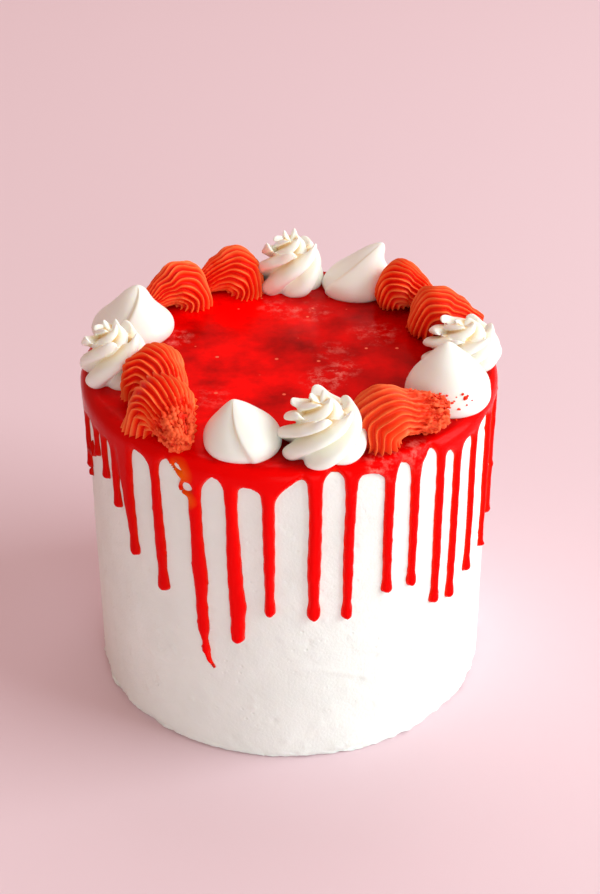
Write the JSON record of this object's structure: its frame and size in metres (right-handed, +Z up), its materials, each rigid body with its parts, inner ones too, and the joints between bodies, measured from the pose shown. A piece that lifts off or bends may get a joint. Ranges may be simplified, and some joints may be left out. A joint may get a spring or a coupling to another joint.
{
  "type": "drip cake",
  "caption": "Tall round layer cake in white buttercream with a red glaze that drips down its side, and a ring of piped rosettes, plain dollops and ridged ruffles on the rim.",
  "frame": {"origin": "centre of the flat base, on the cake's axis", "axes": "+Z up along the cake's axis, -Y towards the front, +X to the right seen from the front"},
  "size_m": [0.1636, 0.1636, 0.1621],
  "materials": {
    "white_buttercream": "smoothed buttercream, satin, with small pits and spatula marks",
    "red_glaze": "glossy set glaze, deep red",
    "piped_cream": "smooth piped white cream, satin",
    "piped_red_buttercream": "ridged piped buttercream, orange red, rough where it broke off the tip"
  },
  "bodies": {
    "root": {"cake_body": "white_buttercream", "glaze": "red_glaze", "rosette_1": "piped_cream", "rosette_2": "piped_cream", "rosette_3": "piped_cream", "rosette_4": "piped_cream", "dollop_1": "piped_cream", "dollop_2": "piped_cream", "dollop_3": "piped_cream", "dollop_4": "piped_cream", "ruffle_1": "piped_red_buttercream", "ruffle_2": "piped_red_buttercream", "ruffle_3": "piped_red_buttercream", "ruffle_4": "piped_red_buttercream", "ruffle_5": "piped_red_buttercream", "ruffle_6": "piped_red_buttercream", "ruffle_7": "piped_red_buttercream"}
  },
  "joints": []
}
